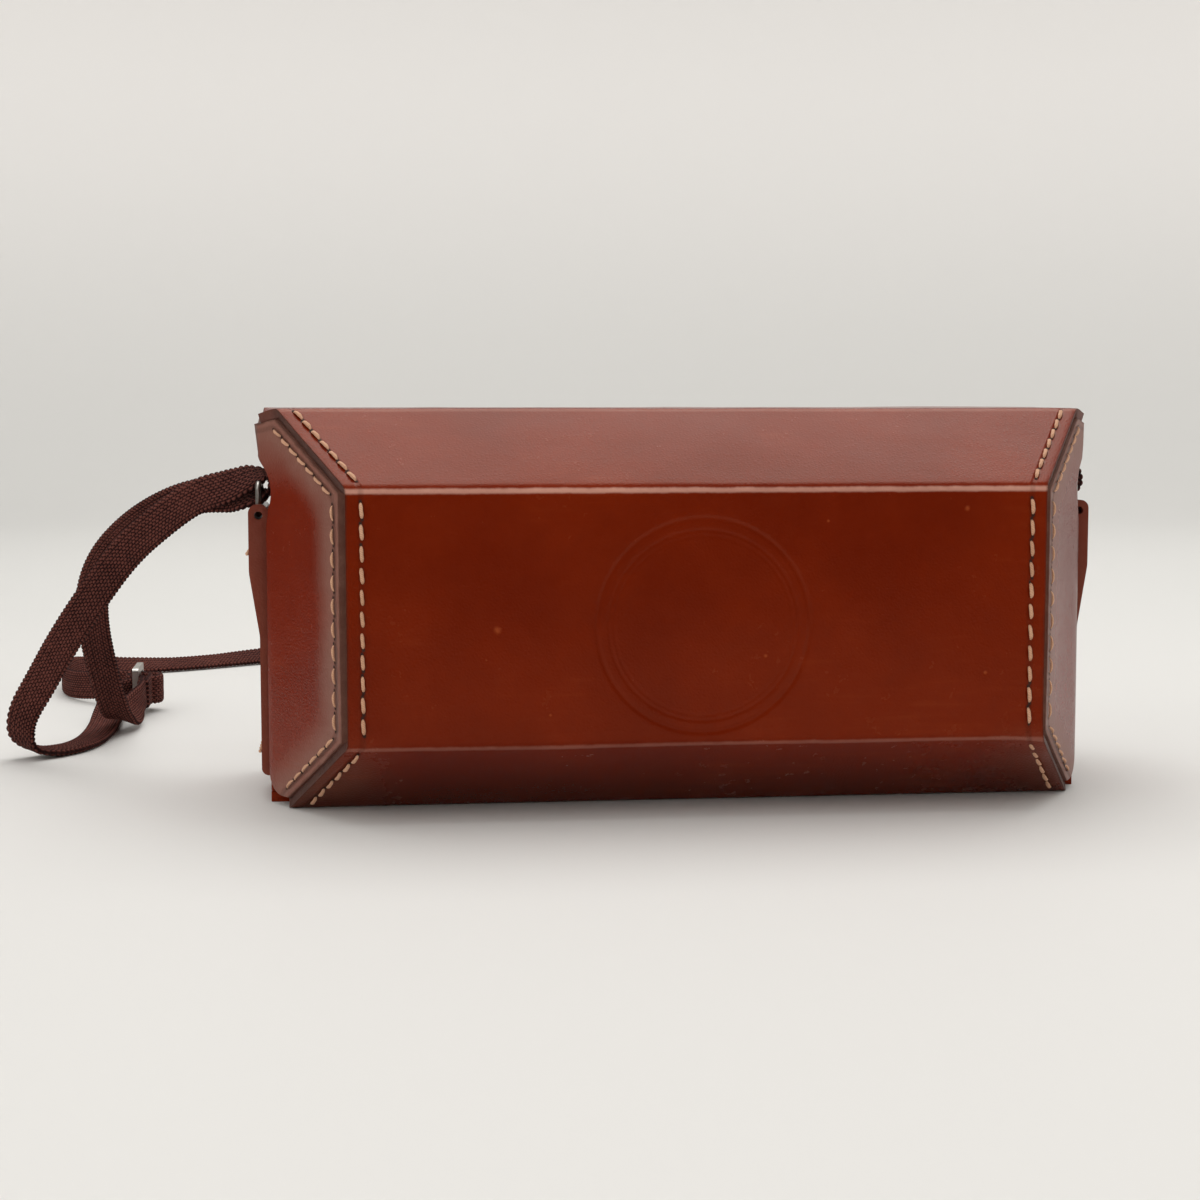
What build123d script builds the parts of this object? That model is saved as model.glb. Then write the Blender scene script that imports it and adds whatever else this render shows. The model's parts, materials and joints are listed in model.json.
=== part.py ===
from build123d import *
import math
import os

# A stiff saddle-leather camera case that rests on its flat base, in millimetres.
# Sizes run from the outer front face backwards: depth 0 is the front face.
# The base is at height 0 and width is measured either way from the middle.

# Leather, lining and thread
leather = 2.2
lining = 0.8
board = 1.5
thread = 0.7
stitch_length = 3.3
seam_inset = 3.3
running_gap = 0.4

# Front cover
face_width = 148.0
face_height = 54.0
top_rise = 16.0
bottom_drop = 16.0
top_slope_depth = 24.0
bottom_slope_depth = 21.0
flare = 0.6
end_depth = 28.6
ear_depth = 31.0
ear_base = 77.0
waist_height = 70.0
waist_bite = 3.1
shoulder_height = 61.0
fold_radius = 2.6
lining_radius = 1.2
hinge_half_width = 82.0

# Rear half
rear_depth = 71.0
rear_wall_height = 62.0
side_wall_height = 65.0
side_step = 0.4
rear_fold_radius = 5.0
hinge_strip_width = 9.0
hinge_strip_thickness = 1.2

# Closing flap
flap_half_width = 85.0
flap_skirt_end = 59.0
flap_tongue_width = 62.0
flap_tongue_end = 34.0
flap_standoff = 0.4
crease_gap = 0.4

# Press stud
snap_height = 44.0
stud_radius = 2.4
stud_length = 2.0
stud_base_radius = 6.0
socket_radius = 4.0
cap_radius = 6.5
cap_rise = 2.4
snap_clearance = 0.2

# Camera screw
screw_depth = 51.0
screw_head_radius = 9.0
screw_head_height = 1.6
screw_thread_radius = 3.175
screw_thread_length = 7.5
screw_tip_chamfer = 0.5
screw_running_clearance = 0.08
screw_plate_radius = 11.5
clip_radius = 5.2
clip_thickness = 0.8
clip_groove = 0.45
coin_slot_width = 1.8

# Strap bands and their wire rings
band_front = 34.0
band_width = 18.0
band_bottom = 5.0
band_swell_start = 36.0
band_swell_end = 50.0
wire_radius = 0.7
ring_inner_width = 9.6
ring_lower_height = 62.6
ring_upper_height = 69.3
ring_corner = 1.5

# Woven strap and its slide
strap_width = 8.0
strap_thickness = 1.6
strap_cord_radius = 1.3
loop_clearance = 0.2
loop_tail = 6.0
loop_lean = 15.0
slide_depth = 171.0
slide_side = -133.0
slide_length = 16.0
slide_height = 12.7
slide_bar = 1.8
slide_thickness = 1.6
slide_tail = 13.0

# Tie round the put-away runs of the strap
tie_wall = 0.6
tie_width = 6.0
tie_height = 9.8
tie_clearance = 1.1
hank_waist_front = 104.0
hank_waist_pitch = 4.5

# Sizes that follow from the ones above
case_height = bottom_drop + face_height + top_rise
inner_top = case_height - leather
break_depth = end_depth + running_gap
side_outer = face_width / 2 + flare * end_depth - side_step
side_inner = side_outer - leather
arm_outer = face_width / 2 + flare * ear_depth
flap_inner_depth = rear_depth + flap_standoff
flap_outer_depth = flap_inner_depth + leather
top_end_depth = rear_depth - running_gap * 2
crease_depth = top_end_depth + crease_gap
snap_outer_depth = flap_outer_depth + cap_rise
band_middle = band_front + band_width / 2
front_shift = (thread - snap_outer_depth) / 2

# The strap's line as (width, depth, height). This stretch runs from the sewn loop on the
# right ring, up over the shoulder and down to the table behind the case.
strap_right_route = [
    (94.53, 43.0, 75.14), (95.2, 43.0, 77.6), (96.0, 46.4, 81.0), (96.6, 53.4, 82.8), (97.2, 63.0, 79.6),
    (97.2, 73.0, 69.0), (96.4, 80.0, 54.0), (93.5, 86.0, 35.0), (87.5, 91.0, 17.0), (77.5, 95.0, 5.8),
    (62.0, 97.0, 1.7),
]

# Three put-away runs with a turn at each end, drawn in at the tie.
strap_hank_route = [
    (34.0, 100.4, 2.0), (2.0, hank_waist_front, 2.3), (-28.0, 101.8, 2.0), (-54.0, 95.6, 1.6),
    (-74.0, 92.6, 1.6), (-85.0, 95.0, 1.6), (-89.0, 103.5, 1.6), (-84.5, 112.0, 1.6), (-73.0, 114.0, 1.6),
    (-52.0, 111.0, 1.6), (-26.0, 108.8, 2.0), (2.0, hank_waist_front + hank_waist_pitch, 2.3),
    (30.0, 107.6, 2.0), (56.0, 104.8, 1.6), (74.0, 103.6, 1.6), (85.0, 107.5, 1.6), (88.5, 116.5, 1.6),
    (83.5, 124.5, 1.6), (72.0, 125.6, 1.6), (54.0, 120.4, 1.6), (28.0, 114.8, 2.0),
    (-2.0, hank_waist_front + 2 * hank_waist_pitch, 2.3), (-28.0, 115.6, 2.0), (-48.0, 119.8, 1.6),
]

# Out to the far bend, back past the slide, up through the left ring and down again to
# the sewn loop on the slide.
strap_left_route = [
    (-65.0, 127.0, 1.6), (-72.5, 139.0, 1.6), (-74.5, 158.0, 1.6), (-72.0, 185.0, 1.6), (-74.5, 213.0, 1.6),
    (-72.5, 238.0, 1.6), (-72.0, 257.0, 1.6), (-76.0, 271.0, 1.6), (-87.0, 279.0, 1.6), (-102.0, 276.0, 1.6),
    (-116.0, 267.0, 1.6), (-130.0, 258.4, 1.6), (-144.0, 253.0, 1.6), (-155.0, 244.0, 1.6),
    (-160.0, 229.0, 1.6), (-159.0, 210.0, 1.6), (-154.0, 195.0, 1.6), (-145.0, 187.4, 1.6),
    (-139.6, 180.5, 2.2), (-137.6, 170.0, 3.0), (-137.4, 158.0, 2.4), (-138.2, 144.0, 1.6),
    (-138.6, 128.0, 1.6), (-139.6, 112.0, 1.6), (-142.4, 99.0, 1.6), (-147.4, 92.6, 2.0),
    (-151.8, 92.4, 5.2), (-152.0, 91.6, 11.0), (-147.6, 86.4, 20.0), (-141.6, 79.4, 30.0),
    (-133.4, 71.4, 41.6), (-124.6, 63.6, 53.2), (-115.4, 55.0, 63.8), (-106.6, 49.0, 70.2),
    (-98.6, 44.2, 71.9), (-90.4, 43.0, 71.9), (-90.4, 43.0, 66.7), (-98.0, 43.4, 66.4),
    (-107.0, 50.6, 64.4), (-117.0, 64.6, 61.6), (-127.0, 78.0, 56.4), (-134.6, 88.6, 49.4),
    (-138.4, 97.4, 40.6), (-138.0, 105.6, 31.6), (-136.4, 114.6, 20.6), (-135.2, 123.0, 10.6),
    (-133.8, 131.6, 5.2), (-131.4, 141.4, 5.2), (-130.4, 151.4, 6.55), (-130.4, 157.95, 6.55),
]


def place(shape):
    """Move a shape from depth coordinates to the case's own frame."""
    return Pos(0, front_shift, 0) * shape


def save(name, shape):
    export_step(place(shape), "parts/" + name + ".step")


def outline(points, radii):
    """A flat face through the points, each corner rounded by its own radius."""
    face = make_face(Polyline(*points, close=True))
    for point, radius in zip(points, radii):
        if radius > 0:
            corner = face.vertices().sort_by_distance(Vector(*point))[0]
            face = fillet(corner, radius)
    return face


def inset_path(points, distance):
    """The open path moved to its left by a distance, with mitred corners."""
    normals = []
    for start, end in zip(points, points[1:]):
        run = math.dist(start, end)
        normals.append(((start[1] - end[1]) / run, (end[0] - start[0]) / run))
    moved = []
    for index, point in enumerate(points):
        before = normals[max(index - 1, 0)]
        after = normals[min(index, len(normals) - 1)]
        scale = distance / (1 + before[0] * after[0] + before[1] * after[1])
        moved.append((point[0] + scale * (before[0] + after[0]), point[1] + scale * (before[1] + after[1])))
    return moved


def bent_sheet(points, thickness, radius):
    """The section of a sheet folded along a path, its inside on the path's left."""
    inner = inset_path(points, thickness)
    inner_radius = max(radius - thickness, 0.3)
    folds = len(points) - 2
    radii = [0] + [radius] * folds + [0] + [0] + [inner_radius] * folds + [0]
    return outline(points + inner[::-1], radii)


def across(section, half_width):
    """Run a depth-and-height section out to both sides of the middle."""
    return extrude(Plane.YZ * section, amount=half_width, both=True)


def upright(plan):
    """Raise a width-and-depth plan past the top of the case."""
    return extrude(plan, amount=case_height + 10)


def outer_half_width(depth):
    return face_width / 2 + flare * min(depth, ear_depth)


def cover_path():
    """Outer line of the cover's wrap, from the top crease round to the base."""
    return [
        (top_end_depth, case_height),
        (top_slope_depth, case_height),
        (0, case_height - top_rise),
        (0, bottom_drop),
        (bottom_slope_depth, 0),
        (end_depth, 0),
    ]


def cover_plan(inset):
    """Plan of the cover between its two flared ends, drawn in by an inset."""
    front = face_width / 2 - inset
    back = arm_outer - inset
    points = [(-front, 0), (-back, ear_depth), (-back, rear_depth + 5)]
    points += [(-x, y) for x, y in points[::-1]]
    return make_face(Polyline(*points, close=True))


def base_corner_cut():
    """What is trimmed off both base corners of the wrap, down by the hinge."""
    width = arm_outer + 1 - hinge_half_width
    depth = end_depth - bottom_slope_depth + 2
    block = Pos(hinge_half_width + width / 2, bottom_slope_depth + depth / 2, 0) * Box(width, depth, 4 * leather)
    inner_edge = block.edges().filter_by(Axis.Z).group_by(Axis.X)[0].sort_by(Axis.Y)[0]
    block = fillet(inner_edge, 2)
    return block + mirror(block, Plane.YZ)


def cover_wrap():
    wrap = across(bent_sheet(cover_path(), leather, fold_radius), arm_outer + 5)
    wrap = wrap & upright(cover_plan(0))
    corners = wrap.edges().filter_by(Axis.Z).group_by(Axis.Y)[-1]
    return fillet(corners, 4) - base_corner_cut()


def end_outline():
    """Side view of a flared end, with its ear, waist and rounded heel."""
    inner = inset_path(cover_path(), leather)
    points = [
        (top_end_depth, inner_top),
        inner[1], inner[2], inner[3], inner[4],
        (end_depth, leather),
        (end_depth, shoulder_height),
        (end_depth - waist_bite, waist_height),
        (ear_depth + 2, ear_base),
        (top_end_depth, ear_base),
    ]
    fold = fold_radius - leather + 0.05
    return outline(points, [0, fold, fold, fold, fold, 4.5, 10, 7, 3, 3])


def end_plan(side, inset, thickness):
    """Plan of one flared end and its arm under the flat top."""
    front = face_width / 2 - inset
    back = arm_outer - inset
    path = [(-back, top_end_depth), (-back, ear_depth), (-front, 0)]
    face = bent_sheet(path, thickness, 4)
    return face if side < 0 else mirror(face, Plane.YZ)


def cover_end(side):
    return upright(end_plan(side, 0, leather)) & across(end_outline(), arm_outer + 5)


def cover_lining_wrap():
    """Thin lining inside the wrap, between the two ends."""
    path = inset_path(cover_path(), leather)[:-1]
    path[-1] = tuple(0.85 * low + 0.15 * high for low, high in zip(path[-1], path[-2]))
    sheet = across(bent_sheet(path, lining, lining_radius), arm_outer)
    return sheet & upright(cover_plan(leather * 1.25))


def cover_lining_end(side):
    path = inset_path(cover_path(), leather + lining)
    back = end_depth - 1
    points = [path[2], path[3], path[4], (back, leather + lining + 4), (back, shoulder_height - 4),
              (back - waist_bite, waist_height - 3), (top_slope_depth - 1, waist_height + 6), path[1]]
    fold = lining_radius - lining + 0.05
    face = outline(points, [fold, fold, fold, 0, 0, 0, 0, fold])
    skew = leather * (math.sqrt(1 + flare ** 2) + 0.02)
    return upright(end_plan(side, skew, lining)) & across(face, arm_outer)


def rear_path():
    return [(break_depth, 0), (rear_depth, 0), (rear_depth, rear_wall_height)]


def rear_wrap():
    """Base and back of the rear half in one folded piece."""
    wrap = across(bent_sheet(rear_path(), leather, rear_fold_radius), side_outer)
    wrap = fillet(wrap.edges().filter_by(Axis.Y).group_by(Axis.Z)[-1], 6)
    head_hole = Pos(0, screw_depth, leather / 2) * Cylinder(screw_head_radius + 0.6, leather * 2)
    post_hole = Pos(0, rear_depth, snap_height) * Rot(90, 0, 0) * Cylinder(stud_radius - 0.4, leather * 3)
    return wrap - head_hole - post_hole


def rear_side(side):
    """A side wall that stands between the base and the back."""
    heel = rear_depth - leather
    radius = rear_fold_radius - leather
    face = outline(
        [(break_depth, leather), (heel, leather), (heel, rear_wall_height), (heel - 12, side_wall_height),
         (break_depth, side_wall_height)],
        [0, radius, 4, 8, 5],
    )
    plate = extrude(Plane.YZ * face, amount=leather)
    return Pos(side_inner if side > 0 else -side_outer, 0, 0) * plate


def rear_lining():
    """Lining over the base board and up the back."""
    start = leather + board
    path = [(break_depth + hinge_strip_width + 1, start), (rear_depth - leather, start),
            (rear_depth - leather, rear_wall_height - 2)]
    sheet = across(bent_sheet(path, lining, rear_fold_radius - leather + 0.2), side_inner - lining)
    well = Pos(0, screw_depth, start) * Cylinder(screw_plate_radius, lining * 4)
    recess = Pos(0, rear_depth - leather - lining, snap_height) * Rot(90, 0, 0) * Cylinder(
        stud_base_radius + 0.4, lining * 4
    )
    return sheet - well - recess


def rear_side_lining(side):
    low = leather + board + lining
    heel = rear_depth - leather - lining
    face = outline([(break_depth + 1, low), (heel, low), (heel, rear_wall_height - 2),
                    (heel - 12, side_wall_height - 2), (break_depth + 1, side_wall_height - 2)],
                   [0, 0, 3, 8, 4])
    plate = extrude(Plane.YZ * face, amount=lining)
    return Pos(side_inner - lining if side > 0 else -side_inner, 0, 0) * plate


def base_board():
    """Stiffener glued to the base, with a well for the screw plate."""
    front = break_depth + hinge_strip_width + 1
    back = rear_depth - rear_fold_radius
    plate = Pos(0, (front + back) / 2, leather + board / 2) * Box(2 * side_inner, back - front, board)
    return plate - Pos(0, screw_depth, leather) * Cylinder(screw_plate_radius + running_gap, board * 4)


def hinge_strip(front, back):
    """One half of the thin leather strip glued across the hinge line inside."""
    return Pos(0, (front + back) / 2, leather + hinge_strip_thickness / 2) * Box(
        2 * (hinge_half_width - 4), back - front, hinge_strip_thickness
    )


def screw_plate():
    plate = Pos(0, screw_depth, leather + board / 2) * Cylinder(screw_plate_radius, board)
    return plate - Pos(0, screw_depth, leather) * Cylinder(screw_thread_radius + screw_running_clearance, 10)


def camera_screw():
    """Coin-slotted captive screw: head in the base, neck, clip groove and thread."""
    head_top = leather - 0.2
    groove = leather + board + 0.2
    thread_start = groove + clip_thickness
    tip = thread_start + screw_thread_length
    body = Pos(0, 0, head_top - screw_head_height / 2) * Cylinder(screw_head_radius, screw_head_height)
    body = chamfer(body.edges().group_by(Axis.Z)[0], 0.3)
    shank = Pos(0, 0, (head_top + tip) / 2) * Cylinder(screw_thread_radius, tip - head_top)
    shank = chamfer(shank.edges().group_by(Axis.Z)[-1], screw_tip_chamfer)
    neck = Cylinder(screw_thread_radius + 1, clip_thickness) - Cylinder(
        screw_thread_radius - clip_groove, clip_thickness
    )
    shank = shank - Pos(0, 0, groove + clip_thickness / 2) * neck
    slot = Pos(0, 0, head_top - screw_head_height) * Box(2.2 * screw_head_radius, coin_slot_width, 1.6)
    return Pos(0, screw_depth, 0) * (body + shank - slot)


def screw_clip():
    """Spring clip in the groove that keeps the screw in the case."""
    ring = Cylinder(clip_radius, clip_thickness - 0.1) - Cylinder(screw_thread_radius - clip_groove + 0.03, 2)
    ring = ring - Pos(clip_radius, 0, 0) * Box(2 * clip_radius, 3.2, 2)
    height = leather + board + 0.2 + clip_thickness / 2
    return Pos(0, screw_depth, height) * ring


def flap_outline():
    """Closing flap seen from behind: full skirt, then a round-ended tongue."""
    tongue = flap_tongue_width / 2
    points = [
        (-flap_half_width, case_height), (-flap_half_width, flap_skirt_end),
        (-tongue - 6, flap_skirt_end), (-tongue, flap_skirt_end - 7), (-tongue + 4, flap_tongue_end),
    ]
    points += [(-x, z) for x, z in points[::-1]]
    return outline(points, [0, 9, 5, 5, 16, 16, 5, 5, 9, 0])


def closing_flap():
    """The wrap's last panel, from the crease over the edge and down the back."""
    path = [(flap_outer_depth, flap_tongue_end - 5), (flap_outer_depth, case_height), (crease_depth, case_height)]
    sheet = across(bent_sheet(path, leather, fold_radius), flap_half_width)
    shape = extrude(Plane.XZ * flap_outline(), amount=-(flap_outer_depth + 5))
    hole = Pos(0, flap_outer_depth, snap_height) * Rot(90, 0, 0) * Cylinder(socket_radius, leather * 4)
    return (sheet & shape) - hole


def round_backwards(radius, start, end):
    """A disc or post on the press stud's axis, between two depths."""
    return Pos(0, (start + end) / 2, snap_height) * Rot(90, 0, 0) * Cylinder(radius, end - start)


def snap_stud():
    """Stud riveted through the back wall, its head towards the flap."""
    inside = rear_depth - leather
    base = round_backwards(stud_base_radius, inside - 0.8, inside)
    post = round_backwards(stud_radius - 0.4, inside, rear_depth)
    head = round_backwards(stud_radius, rear_depth, rear_depth + stud_length)
    head = fillet(head.edges().group_by(Axis.Y)[-1], 0.6)
    return base + post + head


def snap_socket():
    """Socket set in the flap, open towards the stud."""
    inner = flap_inner_depth - 0.1
    body = round_backwards(socket_radius - 0.05, inner, flap_outer_depth - 0.02)
    return body - round_backwards(stud_radius + snap_clearance, inner - 1, rear_depth + stud_length + snap_clearance)


def snap_cap():
    """Domed cap that shows on the outside of the flap."""
    disc = round_backwards(cap_radius, flap_outer_depth, snap_outer_depth)
    return fillet(disc.edges().group_by(Axis.Y)[-1], cap_rise - 0.3)


def strap_band(side):
    """Doubled leather band sewn to a side wall, folded over the ring's lower bar."""
    top = side_wall_height
    points = [
        (0, band_bottom), (leather, band_bottom), (leather, band_swell_start),
        (2 * leather, band_swell_end), (2 * leather, top), (0, top),
    ]
    section = outline(points, [0, 1.6, 10, 10, 1.9, 1.9])
    band = Pos(0, band_front, 0) * extrude(Plane.XZ * section, amount=-band_width)
    eye = Pos(leather, band_middle, ring_lower_height) * Rot(90, 0, 0) * Cylinder(wire_radius + 0.2, band_width * 2)
    mouth_width = ring_inner_width + 4 * wire_radius + 0.6
    mouth = Pos(leather, band_middle, ring_lower_height + 5) * Box(2 * wire_radius + 0.4, mouth_width, 10)
    band = Pos(side_outer, 0, 0) * (band - eye - mouth)
    return band if side > 0 else mirror(band, Plane.YZ)


def strap_ring(side):
    """Rectangular wire ring that stands up out of the band's fold."""
    half = ring_inner_width / 2 + wire_radius
    width = side * (side_outer + leather)
    low, high = ring_lower_height, ring_upper_height
    corners = [(width, band_middle - half, low), (width, band_middle + half, low),
               (width, band_middle + half, high), (width, band_middle - half, high)]
    path = FilletPolyline(*corners, radius=ring_corner, close=True)
    start = Plane(origin=path @ 0, z_dir=path % 0)
    return sweep(start * Circle(wire_radius), path=path)


def sewn_loop_section(tail, bore_length, bore_width):
    """Plan of a strap end folded round a bar and sewn flat to itself."""
    bore = RectangleRounded(bore_length, bore_width, min(bore_length, bore_width) / 2 - 0.01)
    wall = 2 * strap_thickness
    rim = RectangleRounded(bore_length + wall, bore_width + wall, min(bore_length, bore_width) / 2 + 1.5)
    flat = Pos(tail / 2, 0) * Rectangle(tail, wall)
    return rim + flat - bore


def strap_ring_loop():
    """Sewn end of the strap on the right-hand ring."""
    bore = 2 * (wire_radius + loop_clearance)
    section = sewn_loop_section(loop_tail, bore, bore)
    loop = extrude(section, amount=strap_width / 2, both=True)
    turned = Rot(0, -(90 - loop_lean), 0) * (Rot(90, 0, 0) * loop)
    return Pos(side_outer + leather, band_middle, ring_upper_height) * turned


def strap_slide():
    """Three-bar slide that sets the strap's length, standing on its long side."""
    plate = Box(slide_thickness, slide_length, slide_height)
    window = (slide_length - 3 * slide_bar) / 2
    hole = Box(slide_thickness * 3, window, slide_height - 2 * slide_bar)
    shift = (window + slide_bar) / 2
    plate = fillet(plate.edges().filter_by(Axis.X), 1.2)
    plate = plate - Pos(0, shift, 0) * hole - Pos(0, -shift, 0) * hole
    return Pos(slide_side, slide_depth, slide_height / 2 + 0.2) * plate


def strap_slide_loop():
    """Sewn end of the strap on the slide's middle bar, its tail beside the slide."""
    bore_width = slide_thickness + 2 * loop_clearance
    bore_length = slide_bar + 2 * loop_clearance
    ring = RectangleRounded(bore_width + 2 * strap_thickness, bore_length + 2 * strap_thickness, 1.6)
    bore = RectangleRounded(bore_width, bore_length, 0.2)
    tail_offset = bore_width / 2 + strap_thickness
    tail = Pos(tail_offset, -slide_tail / 2) * Rectangle(2 * strap_thickness, slide_tail)
    head = Pos(tail_offset, 0) * Rectangle(2 * strap_thickness, bore_length + 2 * strap_thickness)
    section = ring + head + tail - bore
    front_bar = Pos(0, -(slide_length - slide_bar) / 2) * Rectangle(bore_width, slide_bar + 1)
    section = section - front_bar
    loop = extrude(section, amount=strap_width)
    height = 0.2 + (slide_height - strap_width) / 2
    return Pos(slide_side, slide_depth, height) * loop


def halfway(before, after):
    return tuple((low + high) / 2 for low, high in zip(before, after))


def strap_cord(name, route):
    """One stretch of the strap as a round cord along straight runs and tangent arcs."""
    radii = []
    for before, corner, after in zip(route, route[1:], route[2:]):
        arrive = Vector(*corner) - Vector(*before)
        leave = Vector(*after) - Vector(*corner)
        half_turn = math.radians(arrive.get_angle(leave)) / 2
        radii.append(0.45 * min(arrive.length, leave.length) / math.tan(half_turn))
    print(name, "corner radii", [round(radius, 1) for radius in radii])
    path = FilletPolyline(*route, radius=radii)
    start = Plane(origin=path @ 0, z_dir=path % 0)
    cord = sweep(start * Circle(strap_cord_radius), path=path)
    section = math.pi * strap_cord_radius ** 2
    print(name, "length", round(path.length, 1), "volume over section", round(cord.volume / section, 1))
    print(name, "least gap to itself", *least_gap(path))
    return cord


def least_gap(path):
    """Clear space between stretches of a cord that aren't neighbours, and where it is."""
    count = int(path.length / 1.5)
    points = [tuple(path @ (index / count)) for index in range(count + 1)]
    apart = 8
    nearest = min(
        (math.dist(point, other), point)
        for index, point in enumerate(points)
        for other in points[index + apart:]
    )
    return round(nearest[0] - 2 * strap_cord_radius, 2), [round(value) for value in nearest[1]]


def strap_tie():
    """Flat tape tied round the three put-away runs."""
    reach = strap_cord_radius + tie_clearance
    front = hank_waist_front - reach - tie_wall
    back = hank_waist_front + 2 * hank_waist_pitch + reach + tie_wall
    section = RectangleRounded(back - front, tie_height, 2) - RectangleRounded(
        back - front - 2 * tie_wall, tie_height - 2 * tie_wall, 2 - tie_wall
    )
    band = extrude(Plane.YZ * section, amount=tie_width / 2, both=True)
    return Pos(0, (front + back) / 2, tie_height / 2) * band


def stitch_row(start, end, normal, count):
    """Stitches along a line, each lying on the surface that faces along the normal."""
    start, end, normal = Vector(*start), Vector(*end), Vector(*normal).normalized()
    along = (end - start).normalized()
    lift = normal * (thread / 2)
    stitches = []
    for index in range(count):
        centre = start + (end - start) * ((index + 0.5) / count) + lift
        bed = Plane(origin=centre, x_dir=along, z_dir=normal)
        stitches.append(bed * Box(stitch_length, thread, thread))
    return stitches


def slope_normal(run, rise):
    """Outward normal of a wrap panel that leans back by run while it climbs by rise."""
    size = math.hypot(run, rise)
    return (0, -rise / size, run / size)


def wrap_stitches(side):
    """Seam along one cut edge of the wrap: top slope, front and bottom slope."""
    def point(depth, height):
        return (side * (outer_half_width(depth) - seam_inset), depth, height)

    high, low = case_height - top_rise, bottom_drop
    rows = stitch_row(point(1.6, high + 1.6 * top_rise / top_slope_depth), point(top_slope_depth - 0.8,
                      case_height - 0.8 * top_rise / top_slope_depth), slope_normal(top_slope_depth, top_rise), 7)
    rows += stitch_row(point(0, low + 2.4), point(0, high - 2.4), (0, -1, 0), 11)
    rows += stitch_row(point(1.6, low - 1.6 * bottom_drop / bottom_slope_depth), point(bottom_slope_depth - 1.6,
                       1.6 * bottom_drop / bottom_slope_depth), slope_normal(-bottom_slope_depth, bottom_drop), 6)
    return Compound(rows)


def end_stitches(side):
    """The same seam where it comes out on the flared end panel."""
    normal = (side, -flare, 0)

    def point(depth, height):
        return (side * outer_half_width(depth), depth, height)

    path = inset_path(cover_path(), leather + seam_inset)
    corners = [point(*path[index]) for index in (1, 2, 3, 4)]
    counts = [7, 10, 6]
    rows = []
    for start, end, count in zip(corners, corners[1:], counts):
        rows += stitch_row(start, end, normal, count)
    return Compound(rows)


def rear_stitches(side):
    """Seam down the back edge of the rear half."""
    width = side * (side_outer - seam_inset)
    rows = stitch_row((width, rear_depth, 8), (width, rear_depth, rear_wall_height - 8), (0, 1, 0), 10)
    return Compound(rows)


def band_stitches(side):
    """Two cross rows that hold a band to the side wall."""
    rows = []
    for height, proud in ((band_bottom + 5, leather), (band_swell_end + 4, 2 * leather)):
        width = side * (side_outer + proud)
        rows += stitch_row((width, band_front + 1, height), (width, band_front + band_width - 1, height),
                           (side, 0, 0), 4)
    return Compound(rows)


def flap_stitches():
    """Decorative row along the flap's skirt, either side of the tongue."""
    height = flap_skirt_end + seam_inset
    near, far = flap_tongue_width / 2 + 12, flap_half_width - 10
    rows = []
    for side in (-1, 1):
        rows += stitch_row((side * near, flap_outer_depth, height), (side * far, flap_outer_depth, height),
                           (0, 1, 0), 9)
    return Compound(rows)


def hinge_stitches(depth):
    height = leather + hinge_strip_thickness
    reach = hinge_half_width - 8
    return Compound(stitch_row((-reach, depth, height), (reach, depth, height), (0, 0, 1), 32))


os.makedirs("parts", exist_ok=True)
save("cover_wrap", cover_wrap())
save("cover_lining_wrap", cover_lining_wrap())
save("rear_wrap", rear_wrap())
save("rear_lining", rear_lining())
save("base_board", base_board())
save("hinge_strip_rear", hinge_strip(break_depth, break_depth + hinge_strip_width))
save("hinge_strip_cover", hinge_strip(bottom_slope_depth + 1.2, end_depth))
save("screw_plate", screw_plate())
save("camera_screw", camera_screw())
save("screw_clip", screw_clip())
save("closing_flap", closing_flap())
save("snap_stud", snap_stud())
save("snap_socket", snap_socket())
save("snap_cap", snap_cap())
for side, name in ((-1, "left"), (1, "right")):
    save("cover_end_" + name, cover_end(side))
    save("cover_lining_" + name, cover_lining_end(side))
    save("rear_side_" + name, rear_side(side))
    save("rear_lining_" + name, rear_side_lining(side))
    save("strap_band_" + name, strap_band(side))
    save("strap_ring_" + name, strap_ring(side))
    save("wrap_stitches_" + name, wrap_stitches(side))
    save("end_stitches_" + name, end_stitches(side))
    save("rear_stitches_" + name, rear_stitches(side))
    save("band_stitches_" + name, band_stitches(side))
save("flap_stitches", flap_stitches())
save("hinge_stitches_rear", hinge_stitches(break_depth + hinge_strip_width - 3))
save("strap_ring_loop", strap_ring_loop())
save("strap_slide", strap_slide())
save("strap_slide_loop", strap_slide_loop())
hank_start = halfway(strap_right_route[-1], strap_hank_route[0])
hank_end = halfway(strap_hank_route[-1], strap_left_route[0])
save("strap_right", strap_cord("strap_right", strap_right_route + [hank_start]))
save("strap_hank", strap_cord("strap_hank", [hank_start] + strap_hank_route + [hank_end]))
save("strap_left", strap_cord("strap_left", [hank_end] + strap_left_route))
save("strap_tie", strap_tie())
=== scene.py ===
import bpy
import bmesh
import json
import math
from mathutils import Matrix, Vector, noise


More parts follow.
